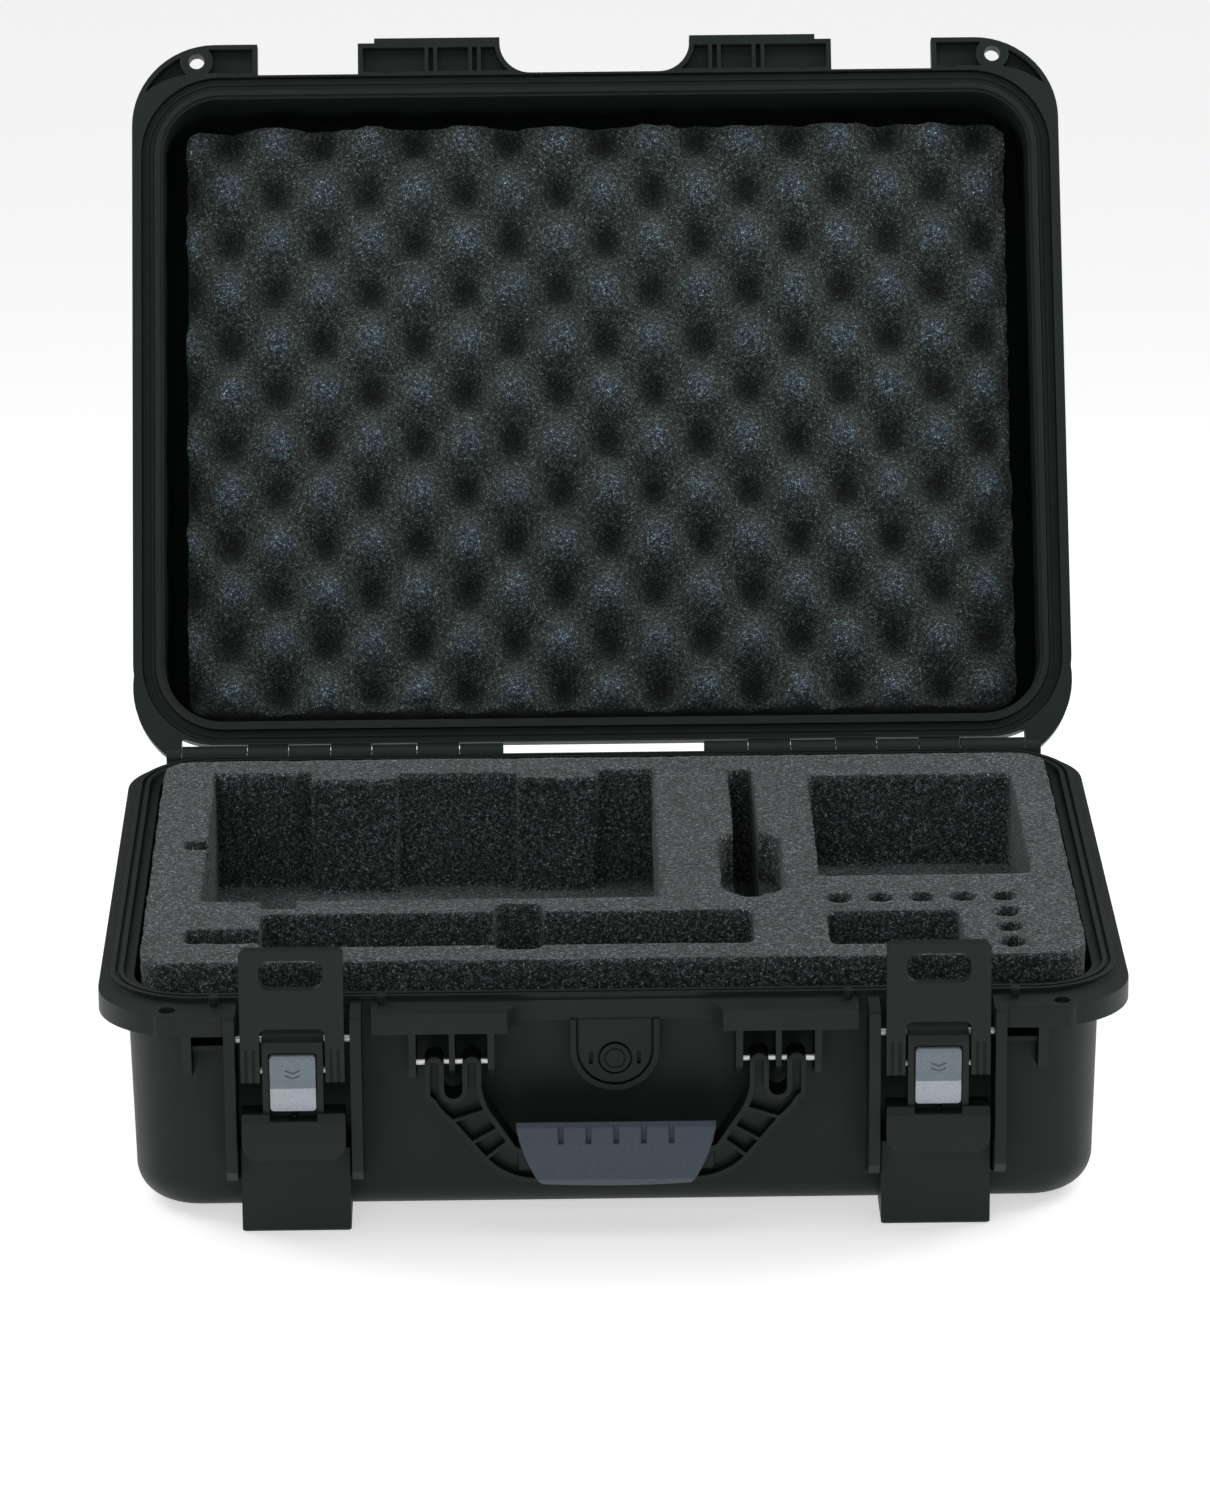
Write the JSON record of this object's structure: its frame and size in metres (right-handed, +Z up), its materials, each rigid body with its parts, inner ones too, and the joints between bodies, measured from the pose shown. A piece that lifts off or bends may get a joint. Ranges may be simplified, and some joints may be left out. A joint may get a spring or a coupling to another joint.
{
  "type": "carrying case",
  "caption": "Open hard-shell carrying case with hinged lid, lever latches, folding handle, pressure valve, cut-out foam in the base and convoluted foam in the lid.",
  "frame": {"origin": "on the floor, under the middle of the open case's bounding box", "axes": "+X to the case's right, +Y from the latches towards the hinge, +Z up"},
  "size_m": [0.424, 0.5272, 0.391],
  "materials": {
    "shell": "fine moulded grain, matte charcoal",
    "latch": "smooth satin charcoal",
    "handle": "satin charcoal",
    "grip": "soft overmould, slate blue-grey",
    "slide": "satin blue-grey",
    "slide_tip": "satin silver-grey",
    "steel": "bright drawn wire",
    "seal": "dull black",
    "membrane": "thin white film",
    "base_foam": "cut polyethylene foam, granular, blue-grey",
    "lid_foam": "open-cell convoluted foam, charcoal"
  },
  "bodies": {
    "case_base": {"base_shell": "shell", "hinge_pin_left": "steel", "hinge_pin_right": "steel", "handle_pin_left": "steel", "handle_pin_right": "steel", "latch_pin_left": "steel", "latch_pin_right": "steel", "valve_cover": "shell", "valve_body": "shell", "valve_seal": "seal", "valve_membrane": "membrane", "valve_nut": "shell", "base_foam_insert": "base_foam", "base_foam_pad": "base_foam"},
    "lid": {"lid_shell": "shell", "lid_gasket": "seal", "lid_foam": "lid_foam"},
    "handle": {"handle_frame": "handle", "handle_grip": "grip"},
    "lever_left": {"latch_lever_left": "latch", "latch_spring_left": "steel", "claw_pin_left": "steel"},
    "claw_left": {"latch_claw_left": "latch"},
    "slide_left": {"latch_slide_left": "slide", "latch_tip_left": "slide_tip"},
    "lever_right": {"latch_lever_right": "latch", "latch_spring_right": "steel", "claw_pin_right": "steel"},
    "claw_right": {"latch_claw_right": "latch"},
    "slide_right": {"latch_slide_right": "slide", "latch_tip_right": "slide_tip"}
  },
  "joints": [
    {"name": "lid_hinge", "type": "hinge", "parent": "case_base", "child": "lid", "pos_m": [0, 0.07679, 0.098], "axis": [1, 0, 0], "range_deg": [0, 118.4]},
    {"name": "handle_hinge", "type": "hinge", "parent": "case_base", "child": "handle", "pos_m": [0, -0.24871, 0.0754], "axis": [-1, 0, 0], "range_deg": [0, 105]},
    {"name": "lever_left_hinge", "type": "hinge", "parent": "case_base", "child": "lever_left", "pos_m": [-0.1314, -0.24671, 0.085], "axis": [-1, 0, 0], "range_deg": [0, 105]},
    {"name": "claw_left_hinge", "type": "hinge", "parent": "lever_left", "child": "claw_left", "pos_m": [-0.1314, -0.25371, 0.074], "axis": [1, 0, 0], "range_deg": [0, 105]},
    {"name": "slide_left_travel", "type": "slide", "parent": "lever_left", "child": "slide_left", "axis": [0, 0, -1], "range_m": [0, 0.003], "stiffness_N_per_m": 300, "springref_m": -0.004, "deforming": ["latch_spring_left"]},
    {"name": "lever_right_hinge", "type": "hinge", "parent": "case_base", "child": "lever_right", "pos_m": [0.1314, -0.24671, 0.085], "axis": [-1, 0, 0], "range_deg": [0, 105]},
    {"name": "claw_right_hinge", "type": "hinge", "parent": "lever_right", "child": "claw_right", "pos_m": [0.1314, -0.25371, 0.074], "axis": [1, 0, 0], "range_deg": [0, 105]},
    {"name": "slide_right_travel", "type": "slide", "parent": "lever_right", "child": "slide_right", "axis": [0, 0, -1], "range_m": [0, 0.003], "stiffness_N_per_m": 300, "springref_m": -0.004, "deforming": ["latch_spring_right"]}
  ],
  "couplings": [
    {"joint": "claw_left_hinge", "follows": "lever_left_hinge", "ratio": 1},
    {"joint": "claw_right_hinge", "follows": "lever_right_hinge", "ratio": 1}
  ]
}
